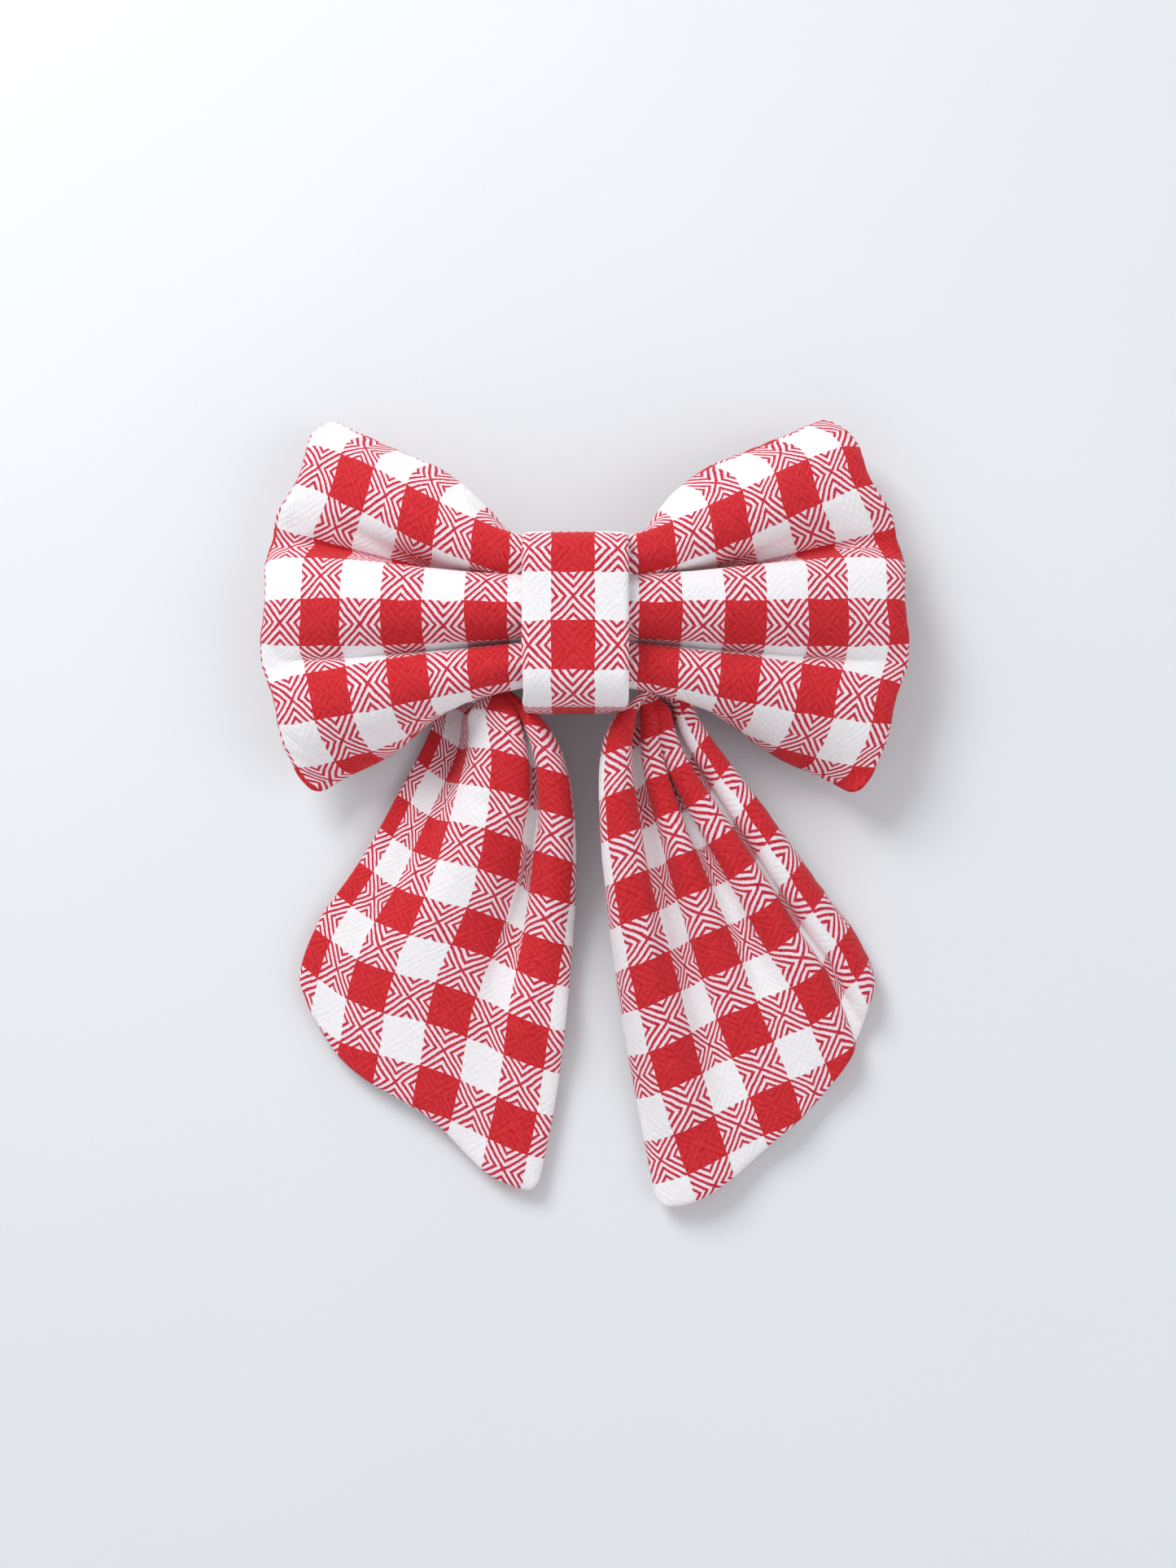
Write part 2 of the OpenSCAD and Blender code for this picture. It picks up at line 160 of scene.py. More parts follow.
def bow_cloth(step_u, step_v):
    v = np.linspace(-BOW_DOWN, BOW_UP, round((BOW_UP + BOW_DOWN) / step_v) + 1)
    ul, left = bow_half(BOW_LEFT, -1, OPEN_LEFT, v, step_u)
    ur, right = bow_half(BOW_RIGHT, 1, OPEN_RIGHT, v, step_u)
    um = np.linspace(-GRIP, GRIP, round(2 * GRIP / step_u) + 1)[1:-1]
    held = [np.column_stack([np.full(len(v), x), right[0, :, 1:]]) for x in um]
    u = np.concatenate([ul[::-1], um, ur])
    points = np.concatenate([left[::-1], held, right])
    u, v = np.tile(u[:, None], (1, len(v))), np.tile(v, (len(u), 1))
    away = (np.abs(u) - GRIP) / (np.where(u < 0, BOW_LEFT, BOW_RIGHT) - GRIP)
    top = curve(away, BOW_TOP) - LEFT_LOWER * (u < 0) * smooth(away / 0.3) * smooth((1 - away) / 0.3)
    low = NEAR * (1 - smooth((away - 0.05) / 0.75))
    i, j = np.indices(u.shape).astype(float)
    last = len(v[0]) - 1
    j = (low + j / last * (top + BOW_DOWN - low)) / (BOW_UP + BOW_DOWN) * last
    return tuple(sampled(a, i, j) for a in (u, v, points))


# ---- the tails' cloth -------------------------------------------------------
# u runs down a tail from under the knot, v across it from its inner edge. rows is how far a row of
# checks turns up, in degrees; wave and root are how the folds rise and fall, low down and near the
# knot; shut and opens say how far they have opened at u = 0 and how fast they open with u; cut is
# where the slanted end is.
TAILS = {
    "tail_left": dict(
        side=-1, width=70, first_col=4, first_row=10.5, crest=38,
        inner=lambda u: -7.4 * np.exp(-u / 12) - 9.8 * (u / 111) ** 3,
        cut=[(0, 108.5), (9, 108.5), (29, 102), (49, 96), (64, 89), (70, 84)],
        rows=[(0, 10), (9, 22), (19, 25), (29, 20), (39, 12), (49, 18), (59, 35), (70, 37)],
        wave=[(0, 1), (8, 0), (14, -1), (18.5, 0), (23, 1), (30, 0.35), (38, 0), (51, -0.72),
              (70, -0.62)],
        root=[(0, 1), (9, 0), (15, -1), (19, 0), (23, 1), (28, 0), (36, -0.35), (51, -0.72),
              (70, -0.62)],
        shut=[(0, -0.4), (6, -0.35), (12, 0.15), (22, 0.2), (30, -0.3), (40, -0.5), (54, 0.4),
              (70, 0.4)],
        opens=[(0, 0.021), (6, 0.021), (12, 0.0105), (22, 0.0105), (30, 0.02), (40, 0.026), (54, 0.006),
               (70, 0.006)]),
    "tail_right": dict(
        side=1, width=79.5, first_col=9.5, first_row=16.5, crest=24,
        inner=lambda u: 7 + 3 * np.exp(-u / 8) + 12.4 * (u / 113) ** 2,
        cut=[(0, 112), (10, 113), (37, 107), (55, 99), (75, 92), (79.5, 88)],
        rows=[(0, 10), (14, 26), (24, 26), (34, 22), (48, 24), (58, 44), (66, 56), (79.5, 54)],
        wave=[(0, 1), (8, 0.6), (13, 0), (20, -0.9), (27, 0), (31, 0.9), (35, 0), (40, -0.9), (44, 0),
              (49, 0.9), (54, 0), (58, -0.9), (62, 0), (66, 0.9), (70, 0), (75, -0.8), (79.5, -0.8)],
        root=[(0, 1), (6, 0.8), (12, 0), (20, -1), (27, 0), (31, 1), (35, 0), (40, -1), (44, 0),
              (48, 1), (52, 0), (57, -1), (62, 0), (66, 0.9), (70, 0), (75, -0.8), (79.5, -0.8)],
        shut=[(0, -0.12), (13, -0.1), (18, 0.15), (30, 0.15), (38, -0.22), (50, -0.22), (58, 0.08),
              (79.5, 0.08)],
        opens=[(0, 0.0097), (13, 0.0097), (18, 0.0085), (30, 0.0085), (38, 0.0155), (50, 0.0155),
               (58, 0.0058), (79.5, 0.0058)])}
TAIL_Y, TAIL_U0, TAIL_FOLD = -23.4, -11.0, 2.05


def tail_cloth(tail, step_u, step_v):
    v = np.linspace(0, tail["width"], round(tail["width"] / step_v) + 1)
    q, dv = (v[1:] + v[:-1]) / 2, v[1] - v[0]
    cut = curve(v, tail["cut"])
    line = np.linspace(TAIL_U0, cut.max(), 160)
    share = np.clip(curve(q, tail["shut"]) + line[:, None] * curve(q, tail["opens"]), -0.4, 0.985)
    wave = mix(curve(q, tail["root"]), curve(q, tail["wave"]), smooth(line / 60)[:, None])
    fold = TAIL_FOLD * np.sqrt(1 - share) * wave
    turn = np.radians(curve(q, tail["rows"]))
    start = np.zeros((len(line), 1))
    out, up, rise = (np.hstack([start, np.cumsum(a * dv, 1)]) for a in
                     (np.cos(fold) * np.cos(turn), np.cos(fold) * np.sin(turn), np.sin(fold)))
    near = mix(0.42, 1, smooth((line + 10) / 13))[:, None]          # gathered in under the knot
    crest = np.array([np.interp(tail["crest"], v, r) for r in rise * near])[:, None]
    x = tail["inner"](line)[:, None] + tail["side"] * out * near
    y = TAIL_Y - 0.985 * line[:, None] + up * near
    z = rise * near - crest + mix(15.5, 4.2, smooth(line / 95))[:, None]
    n = round((cut.max() - TAIL_U0) / step_u)
    u = TAIL_U0 + np.linspace(0, 1, n + 1)[:, None] * (cut - TAIL_U0)
    points = np.dstack([np.array([np.interp(u[:, j], line, a[:, j]) for j in range(len(v))]).T
                        for a in (x, y, z)])
    return u, np.tile(v, (n + 1, 1)), points


# ---- closed pouches ---------------------------------------------------------
REST_Z = 2.6                         # how high the lowest cloth lies
PUCKER = 0.16                        # how much stitching draws the seams in and out


def above_table(p):
    """Lets the lowest cloth lie on the table instead of under it."""
    soft = 1.2
    return np.dstack([p[..., :2], REST_Z + soft * np.logaddexp(0, (p[..., 2] - REST_Z) / soft)])


def round_corners(grid, radius, both_ends=True):
    """The same cloth with its corners turned round, by radius."""
    p, u, v = grid
    m, n = u.shape
    ri = radius / abs(u[1, n // 2] - u[0, n // 2])
    rj = radius / abs(v[0, 1] - v[0, 0])
    i, j = np.meshgrid(np.arange(m, dtype=float), np.arange(n, dtype=float), indexing="ij")
    a = np.clip((i - (m - 1 - ri)) / ri, 0, 1) - (np.clip((ri - i) / ri, 0, 1) if both_ends else 0)
    b = np.clip((j - (n - 1 - rj)) / rj, 0, 1) - np.clip((rj - j) / rj, 0, 1)
    i2 = i - ri * (a - a * np.sqrt(1 - b * b / 2))
    j2 = j - rj * (b - b * np.sqrt(1 - a * a / 2))
    return tuple(sampled(g, i2, j2) for g in (p, u, v))


def new_mesh(name, points, faces, loop_uv=None):
    mesh = bpy.data.meshes.new(name)
    mesh.from_pydata(place(points).tolist(), [], faces)
    if loop_uv is not None:
        layer = mesh.uv_layers.new(name="cloth")
        layer.data.foreach_set("uv", np.asarray(loop_uv, np.float32).ravel())
    mesh.shade_smooth()
    piece = bpy.data.objects.new(name, mesh)
    bpy.context.scene.collection.objects.link(piece)
    return piece


def grid_normals(p):
    n = np.cross(np.gradient(p, axis=0), np.gradient(p, axis=1))
    n /= np.linalg.norm(n, axis=2, keepdims=True)
    return n if n[..., 2].mean() > 0 else -n


def pouch(name, grid, half, weave, back_shift):
    """A closed pouch: front and back panels half a thickness off the grid, joined by a narrow rim.
    weave gives each panel's cloth coordinates, in millimetres."""
    p, u, v = grid
    m, n = u.shape
    normals = grid_normals(p)
    off = normals * half[..., None]
    points = np.concatenate([(p + off).reshape(-1, 3), (p - off).reshape(-1, 3)])
    at = np.arange(m * n).reshape(m, n)
    quads = np.stack([at[:-1, :-1], at[1:, :-1], at[1:, 1:], at[:-1, 1:]], -1).reshape(-1, 4)
    area = np.cross(p[1, 0] - p[0, 0], p[0, 1] - p[0, 0])
    up = area @ normals[0, 0] > 0
    front = quads if up else quads[:, ::-1]
    back = front[:, ::-1] + m * n
    ring = np.concatenate([at[:, 0], at[-1, 1:], at[-2::-1, -1], at[0, -2:0:-1]])
    after = np.roll(ring, -1)
    rim = np.stack([ring, ring + m * n, after + m * n, after], -1)
    rim = rim if up else rim[:, ::-1]
    uv_front = np.stack(weave(u, v), -1).reshape(-1, 2) / UV_UNIT
    uv_back = np.stack(weave(u + back_shift[0], v + back_shift[1]), -1).reshape(-1, 2) / UV_UNIT
    uv = np.concatenate([uv_front, uv_back])
    middle = uv_front.mean(0)
    out = uv_front - middle
    rim_turn = 0.009                 # cloth that goes round the rim, in cloth coordinates
    uv_rim = uv_front + rim_turn * out / np.linalg.norm(out, axis=1, keepdims=True).clip(1e-6)
    uv_all = np.concatenate([uv_front, uv_rim])
    faces = np.concatenate([front, back, rim])
    loop_uv = np.concatenate([uv[front], uv[back], uv_all[rim]])
    return new_mesh(name, points, faces.tolist(), loop_uv)


def rim_round(distance, reach, seam, full):
    """Half thickness that swells from the seam to full over reach."""
    s = 1 - np.clip(distance / reach, 0, 1)
    return seam + (full - seam) * np.sqrt(1 - s * s)


def puckered(half, along, edge):
    """The half thickness, drawn in and let out a little along the seam, as stitching does."""
    beat = np.sin(0.92 * along + 1.3 * np.sin(0.23 * along))
    beat = beat * (1 - smooth(edge / 8)) * smooth(edge / 1.5)
    return half * (1 + PUCKER * beat)


# ---- simulated stuffing -----------------------------------------------------
PRESSURE, FRAMES = 4.0, 20
SIM_SCALE = 10.0                     # the solver works better on larger cloth
SEAM_HELD = 9.0                      # the cloth is held within this distance of a seam


def puff(piece, pinned, edge, cap):
    """Inflates a copy of the pouch as cloth and moves the pouch's points as far, but never over cap.
    pinned is how firmly each point is held, and edge its distance from the seam."""
    pinned = np.tile(np.maximum(pinned, 1 - smooth(edge / SEAM_HELD)).ravel(), 2)
    body = bpy.data.objects.new("puff", piece.data.copy())
    bpy.context.scene.collection.objects.link(body)
    body.data.transform(Matrix.Scale(SIM_SCALE, 4))
    group = body.vertex_groups.new(name="pin")
    for i in np.flatnonzero(pinned > 0.001):
        group.add([int(i)], float(pinned[i]), "REPLACE")
    cloth = body.modifiers.new("cloth", "CLOTH")
    s = cloth.settings
    s.quality, s.mass, s.air_damping = 5, 0.3, 5.0
    s.tension_stiffness = s.compression_stiffness = 25
    s.shear_stiffness, s.bending_stiffness = 8, 1.0
    s.use_pressure, s.uniform_pressure_force = True, PRESSURE
    s.vertex_group_mass = "pin"
    s.effector_weights.gravity = 0
    cloth.point_cache.frame_start, cloth.point_cache.frame_end = 1, FRAMES
    scene = bpy.context.scene
    for f in range(1, FRAMES + 1):
        scene.frame_set(f)
        depsgraph = bpy.context.evaluated_depsgraph_get()
        shape = body.evaluated_get(depsgraph).data
    moved = np.empty(len(shape.vertices) * 3)
    shape.vertices.foreach_get("co", moved)
    rest = np.empty(len(piece.data.vertices) * 3)
    piece.data.vertices.foreach_get("co", rest)
    moved, rest = moved.reshape(-1, 3) / SIM_SCALE, rest.reshape(-1, 3)
    d = moved - rest
    size = np.linalg.norm(d, axis=1, keepdims=True)
    limit = cap * MM * (1 - pinned[:, None])
    d *= limit * np.tanh(size / limit.clip(1e-9)) / size.clip(1e-9)
    piece.data.vertices.foreach_set("co", (rest + d).ravel())
    bpy.data.objects.remove(body)
    scene.frame_set(1)


def subdivide(piece):
    mod = piece.modifiers.new("soft", "SUBSURF")
    mod.levels = mod.render_levels = 1
    depsgraph = bpy.context.evaluated_depsgraph_get()
    mesh = bpy.data.meshes.new_from_object(piece.evaluated_get(depsgraph))
    piece.modifiers.clear()
    old, piece.data = piece.data, mesh
    bpy.data.meshes.remove(old)
    mesh.name = piece.name


# ---- material nodes ---------------------------------------------------------
class Nodes:
    """Short names for building a node material."""

    def __init__(self, name):
        self.material = bpy.data.materials.new(name)
        self.material.use_nodes = True
        self.tree = self.material.node_tree
        self.shader = self.tree.nodes["Principled BSDF"]

    def put(self, socket, value):
        if isinstance(value, bpy.types.NodeSocket):
            self.tree.links.new(value, socket)
        elif value is not None:
            socket.default_value = value

    def node(self, kind, inputs=(), **settings):
        n = self.tree.nodes.new(kind)
        for key, value in settings.items():
            setattr(n, key, value)
        for key, value in dict(inputs).items():
            self.put(n.inputs[key], value)
        return n

    def math(self, operation, a, b=None, c=None):
        n = self.tree.nodes.new("ShaderNodeMath")
        n.operation = operation
        for socket, value in zip(n.inputs, (a, b, c)):
            self.put(socket, value)
        return n.outputs[0]

    def blend(self, factor, a, b):
        n = self.tree.nodes.new("ShaderNodeMix")
        n.data_type = "RGBA"
        self.put(n.inputs["Factor"], factor)
        self.put(n.inputs["A"], a)
        self.put(n.inputs["B"], b)
        return n.outputs["Result"]

    def between(self, factor, a, b):
        n = self.tree.nodes.new("ShaderNodeMix")
        self.put(n.inputs[0], factor)
        self.put(n.inputs[2], a)
        self.put(n.inputs[3], b)
        return n.outputs[0]

    def noise(self, vector, scale, detail=2.0, rough=0.5):
        return self.node("ShaderNodeTexNoise", {"Vector": vector, "Scale": scale, "Detail": detail,
                                                "Roughness": rough}).outputs["Fac"]

    def join(self, x, y, z=0.0):
        return self.node("ShaderNodeCombineXYZ", {"X": x, "Y": y, "Z": z}).outputs[0]


def rgb(r, g, b):
    """An sRGB colour, 0 to 255, as linear RGBA."""
    linear = (c / 255 / 12.92 if c <= 10 else ((c / 255 + 0.055) / 1.055) ** 2.4 for c in (r, g, b))
    return tuple(linear) + (1.0,)


def checked_flannel():
    """Red and white pointed twill in checks: every yarn crossing is worked out from the cloth's own
    coordinates, so mixed checks show chevrons round a red cross and plain ones a faint diamond (in red,
    partly a painted highlight on the raised floats)."""
    k = Nodes("checked_flannel")
    uv = k.node("ShaderNodeUVMap", uv_map="cloth").outputs[0]
    split = k.node("ShaderNodeSeparateXYZ", {"Vector": uv})
    x0, y0 = (k.math("MULTIPLY", split.outputs[i], UV_UNIT) for i in (0, 1))
    flat = k.join(x0, y0)

    def strayed(c, wander_at, jitter_at):
        """A coordinate, with the yarns wandering slowly and jittering finely from their line."""
        for vector, scale, reach in ((wander_at, 0.16, 1.1), (jitter_at, 2.6, 0.34)):
            off = k.math("MULTIPLY", k.math("SUBTRACT", k.noise(vector, scale), 0.5), reach)
            c = k.math("ADD", c, off)
        return c

    x = strayed(x0, flat, flat)
    y = strayed(y0, k.join(y0, x0, 7.0), k.join(y0, x0, 3.0))
    yarn = CHECK / YARNS

    def cell(c):
        """Which yarn c is on, that yarn's middle, and how far across the yarn c is."""
        at = k.math("DIVIDE", c, yarn)
        i = k.math("FLOOR", at)
        return i, k.math("MULTIPLY", k.math("ADD", i, 0.5), yarn), k.math("FRACT", at)

    ix, xq, fx = cell(x)
    iy, yq, fy = cell(y)
    red_warp, red_weft = (k.math("LESS_THAN", k.math("FLOORED_MODULO", q, 2 * CHECK), CHECK)
                          for q in (xq, yq))
    tx, ty = (k.math("ABSOLUTE", k.math("SUBTRACT", k.math("FLOORED_MODULO", q, CHECK), CHECK / 2))
              for q in (k.between(0.3, x, xq), k.between(0.3, y, yq)))
    phase = k.math("FRACT", k.math("ADD", k.math("DIVIDE", k.math("SUBTRACT", tx, ty), 4 * yarn), 0.25))
    cross = k.math("LESS_THAN", phase, 0.5)
    warp_up = k.math("ABSOLUTE", k.math("SUBTRACT", cross, k.math("SUBTRACT", 1.0, red_warp)))
    red = k.between(warp_up, red_weft, red_warp)
    mixed = k.math("ABSOLUTE", k.math("SUBTRACT", red_warp, red_weft))

    # each yarn has its own tone, streaked along its length
    weft_at = k.join(k.math("MULTIPLY", x, 0.5), k.math("MULTIPLY", iy, 3.7))
    warp_at = k.join(k.math("MULTIPLY", ix, 3.7), k.math("MULTIPLY", y, 0.5), 5.0)
    streak = k.between(warp_up, k.noise(weft_at, 1.0, 3.0), k.noise(warp_at, 1.0, 3.0))
    mottle = k.noise(flat, 1.5, 4.0, 0.7)
    tone = k.math("ADD", k.math("MULTIPLY", streak, 0.55), k.math("MULTIPLY", mottle, 0.45))
    tone = k.node("ShaderNodeMapRange", {0: tone, 1: 0.33, 2: 0.67}, clamp=True).outputs[0]
    speck = k.math("FRACT", k.math("MULTIPLY", k.math("ADD", ix, iy), 0.5))
    grain = k.math("MULTIPLY_ADD", speck, 0.34, k.math("MULTIPLY", tone, 0.65))
    # reds are also made lighter where the raised warp floats lie (cross): a painted highlight on the
    # twill's ribs, on top of each yarn's own tone and specks
    tone_and_rib_highlight = k.math("MULTIPLY_ADD", cross, 0.18, grain)
    reds = k.blend(tone_and_rib_highlight, rgb(172, 6, 14), rgb(232, 56, 64))
    pinks = k.blend(tone, rgb(168, 18, 48), rgb(208, 66, 96))
    whites = k.blend(tone, rgb(236, 234, 236), rgb(253, 251, 252))
    tinted = k.blend(k.math("MULTIPLY", mixed, 0.6), whites, rgb(246, 214, 224))
    reds = k.blend(k.math("MULTIPLY", mixed, 0.6), reds, pinks)
    colour = k.blend(red, tinted, reds)
    # brushed fibres drag a little of each colour over the other
    fluff = k.node("ShaderNodeMapRange", {0: k.noise(flat, 6.0, 3.0, 0.75), 1: 0.5, 2: 0.8,
                                          3: 0.0, 4: 0.26}, clamp=True).outputs[0]
    colour = k.blend(fluff, colour, k.blend(red, rgb(240, 214, 220), rgb(222, 96, 110)))
    k.put(k.shader.inputs["Base Color"], colour)

    # relief: round yarns, the ones on top higher, under a brushed nap
    def hump(f):
        c = k.math("SUBTRACT", k.math("MULTIPLY", f, 2.0), 1.0)
        return k.math("SQRT", k.math("SUBTRACT", 1.001, k.math("MULTIPLY", c, c)))

    ridge = k.between(warp_up, hump(fy), hump(fx))
    twill = k.math("SINE", k.math("MULTIPLY", phase, 2 * math.pi))
    height = k.math("ADD", k.math("MULTIPLY", ridge, 0.4), k.math("MULTIPLY", twill, 0.55))
    height = k.math("ADD", height, k.math("MULTIPLY", k.noise(flat, 4.5, 4.0, 0.7), 0.9))
    bump = k.node("ShaderNodeBump", {"Height": height, "Strength": 0.75, "Distance": 0.09 * MM})
    k.put(k.shader.inputs["Normal"], bump.outputs[0])
    k.put(k.shader.inputs["Roughness"], k.between(tone, 0.96, 0.84))
    k.shader.inputs["Specular IOR Level"].default_value = 0.22
    k.shader.inputs["Sheen Weight"].default_value = 0.12
    k.shader.inputs["Sheen Roughness"].default_value = 0.45
    k.shader.inputs["Sheen Tint"].default_value = rgb(255, 235, 236)
    return k.material


def spun_thread():
    k = Nodes("spun_thread")
    here = k.node("ShaderNodeTexCoord").outputs["Object"]
    twist = k.node("ShaderNodeTexWave", {"Vector": here, "Scale": 900.0, "Distortion": 2.0,
                                         "Detail": 2.0}, bands_direction="DIAGONAL").outputs["Fac"]
    fuzz = k.noise(here, 2400.0, 3.0, 0.6)
    # the twist's grooves are painted darker and its ridges lighter, as painted shade, mixed with a
    # random fuzz tone; the same value is the bump height
    twist_relief_and_shade = k.math("ADD", k.math("MULTIPLY", twist, 0.6), k.math("MULTIPLY", fuzz, 0.4))
    k.put(k.shader.inputs["Base Color"], k.blend(twist_relief_and_shade, rgb(214, 208, 206), rgb(250, 247, 245)))
    bump = k.node("ShaderNodeBump", {"Height": twist_relief_and_shade, "Strength": 0.7, "Distance": 0.06 * MM})
    k.put(k.shader.inputs["Normal"], bump.outputs[0])
    k.shader.inputs["Roughness"].default_value = 0.82
    k.shader.inputs["Sheen Weight"].default_value = 0.15
    return k.material


def plated_metal(name, dark, light, streaks):
    """Plated spring steel: fine rolling lines along the strip, dull patches and small scratches."""
    k = Nodes(name)
    here = k.node("ShaderNodeTexCoord").outputs["Object"]
    split = k.node("ShaderNodeSeparateXYZ", {"Vector": here})
    along = k.join(*(k.math("MULTIPLY", split.outputs[i], scale)
                     for i, scale in enumerate((60.0, streaks, 500.0))))
    lines = k.noise(along, 1.0, 4.0, 0.6)
    patch = k.noise(here, 160.0, 4.0, 0.6)
    cells = k.node("ShaderNodeTexVoronoi", {"Vector": here, "Scale": 700.0}, feature="DISTANCE_TO_EDGE")
    scratch = k.math("LESS_THAN", cells.outputs["Distance"], 0.012)
    tone = k.math("ADD", k.math("MULTIPLY", lines, 0.6), k.math("MULTIPLY", patch, 0.4))
    k.put(k.shader.inputs["Base Color"], k.blend(tone, dark, light))
    k.put(k.shader.inputs["Roughness"], k.math("ADD", k.math("MULTIPLY", patch, 0.28),
                                               k.math("MULTIPLY_ADD", scratch, 0.12, 0.14)))
    height = k.math("SUBTRACT", k.math("MULTIPLY", lines, 0.5), k.math("MULTIPLY", scratch, 0.5))
    bump = k.node("ShaderNodeBump", {"Height": height, "Strength": 0.4, "Distance": 0.02 * MM})
    k.put(k.shader.inputs["Normal"], bump.outputs[0])
    k.shader.inputs["Metallic"].default_value = 1.0
    return k.material


def pale_paper():
    k = Nodes("pale_paper")
    here = k.node("ShaderNodeTexCoord").outputs["Object"]
    grain = k.noise(here, 900.0, 4.0, 0.6)
    cloudy = k.noise(here, 9.0, 2.0)
    tone = k.math("ADD", k.math("MULTIPLY", grain, 0.4), k.math("MULTIPLY", cloudy, 0.6))
    k.put(k.shader.inputs["Base Color"], k.blend(tone, rgb(226, 229, 232), rgb(234, 236, 238)))
    bump = k.node("ShaderNodeBump", {"Height": grain, "Strength": 0.15, "Distance": 0.1 * MM})
    k.put(k.shader.inputs["Normal"], bump.outputs[0])
    k.shader.inputs["Roughness"].default_value = 0.9
    return k.material


FLANNEL, THREAD = checked_flannel(), spun_thread()
STEEL = plated_metal("plated_steel", rgb(150, 152, 156), rgb(214, 215, 218), 2400.0)
BRASS = plated_metal("rivet_brass", rgb(168, 138, 82), rgb(226, 198, 132), 1200.0)


def dress(piece, material):
    piece.data.materials.clear()
    piece.data.materials.append(material)


# ---- pieces -----------------------------------------------------------------
def make_bow():
    u, v, p = bow_cloth(STEP_U, STEP_V)
    p, u, v = round_corners((above_table(p), u, v), 2.0)
    wing = smooth((np.abs(u) - 13) / 46)
    full = mix(0.8, 2.3, wing)
    ends = np.minimum(u + BOW_LEFT, BOW_RIGHT - u)
    sides = np.minimum(v - v[:, :1], v[:, -1:] - v)
    half = np.minimum(rim_round(ends, 8, 0.4, full), rim_round(sides, 7, 0.4, full))
    half = puckered(half, u + v, np.minimum(ends, sides))
    piece = pouch("bow", (p, u, v), half,
                  lambda u, v: (u + FIRST_COL, v - FIRST_ROW + CHECK), (3.0, 6.0))
    puff(piece, 1 - smooth((np.abs(u) - 18) / 36), np.minimum(ends, sides), 1.4)
    subdivide(piece)
    dress(piece, FLANNEL)
    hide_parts("bow_front_panel", "bow_back_panel", "bow_fleece")
    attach(piece, "bow")
    return piece


def make_tail(name):
    tail = TAILS[name]
    u, v, p = tail_cloth(tail, STEP_U, STEP_V)
    p, u, v = round_corners((above_table(p), u, v), 3, both_ends=False)
    full = mix(0.75, 1.35, smooth((u - 2) / 40))
    ends = curve(v, tail["cut"]) - u
    sides = np.minimum(v, tail["width"] - v)
    half = np.minimum(rim_round(ends, 7, 0.38, full), rim_round(sides, 6, 0.38, full))
    half = puckered(half, u + v, np.minimum(ends, sides))
    piece = pouch(name, (p, u, v), half,
                  lambda u, v: (v - tail["first_col"], u - tail["first_row"]), (7.0, 3.0))
    puff(piece, 1 - smooth((u - 4) / 30), np.minimum(ends, sides), 0.8)
    subdivide(piece)
    dress(piece, FLANNEL)
    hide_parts(name + "_front_panel", name + "_back_panel", name + "_fleece")
    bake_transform(piece)


def make_gather():
    """The middle of the tails' strip: pleats behind the bow, turned down at both ends."""
    r_in, r_out, pleats, strip_width = 6.05, 13.8, 4, 70
    y0, z0, half_w = -18.0, 15.0, 12.6
    dip, sweep = math.radians(15), math.radians(78)
    bend = np.linspace(0, sweep, 22)
    path = ([(-half_w, a) for a in bend[:0:-1]] + [(x, 0.0) for x in np.linspace(-half_w, half_w, 26)]
            + [(half_w, a) for a in bend[1:]])
    r = np.linspace(r_in, r_out, 81)
    x0, a = (np.array(c)[:, None] for c in zip(*path))
    side = np.sign(x0)
    pleat = np.cos(2 * math.pi * pleats * (r - r_in) / (r_out - r_in))
    rise = 0.62 * pleat + 0.12 * np.sin(0.5 * x0 + 1.7 * r)
    out = r * np.sin(a)
    p = np.dstack([x0 + side * (out * math.cos(dip) + rise * math.sin(dip) * (a > 0)),
                   y0 + r * np.cos(a) + 0 * x0,
                   z0 - out * math.sin(dip) + rise])
    along = x0 + side * a * (r_in + r_out) / 2 + 0 * r
    across = np.tile((r - r_in) / (r_out - r_in) * strip_width, (len(path), 1))
    edge = np.minimum(r - r_in, r_out - r)
    half = np.tile(rim_round(edge, 0.5, 0.12, 0.3), (len(path), 1))
    piece = pouch("gathered_strip", (p, along, across), half, lambda u, v: (v, u), (0.0, 0.0))
    dress(piece, FLANNEL)
    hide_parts("tail_gather")
    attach(piece, "bow")


def make_slit_stitches(bow):
    """Ladder stitches over the turning slit, laid on the bow's back."""
    lo, hi = (np.array(c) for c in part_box("bow_closing_stitches"))
    count, rounds, ring = 12, 7, 8
    first_at, last_at = 0.1, 0.62    # where each stitch begins and ends in its pitch
    radius, rise, sunk = 0.2, 0.2, 0.08
    pitch = (hi[0] - lo[0]) / count
    points, faces = [], []
    for k in range(count):
        line = []
        for q in np.linspace(first_at, last_at, rounds):
            start = Vector((lo[0] + (k + q) * pitch, (lo[1] + hi[1]) / 2, 0.0002))
            hit, at, normal, _ = bow.ray_cast(start, Vector((0, 0, 1)))
            if hit:
                line.append((at, normal, math.sin(math.pi * (q - first_at) / (last_at - first_at))))
        for i, (at, normal, lift) in enumerate(line):
            way = (line[min(i + 1, len(line) - 1)][0] - line[max(i - 1, 0)][0]).normalized()
            over = way.cross(normal).normalized()
            middle = at + normal * (rise * lift - sunk) * MM
            turn = 2 * math.pi / ring
            points += [middle + radius * MM * (over * math.cos(c * turn) + normal * math.sin(c * turn))
                       for c in range(ring)]
            if i:
                first = len(points) - 2 * ring
                pairs = [(c, (c + 1) % ring) for c in range(ring)]
                faces += [(first + c, first + d, first + ring + d, first + ring + c) for c, d in pairs]
        if line:
            faces += [tuple(range(len(points) - ring * len(line), len(points) - ring * (len(line) - 1))),
                      tuple(range(len(points) - ring, len(points)))]
    piece = new_mesh("slit_stitches", np.array(points) / MM - KNOT_AT, faces)
    dress(piece, THREAD)
    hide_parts("bow_closing_stitches")
    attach(piece, "bow")


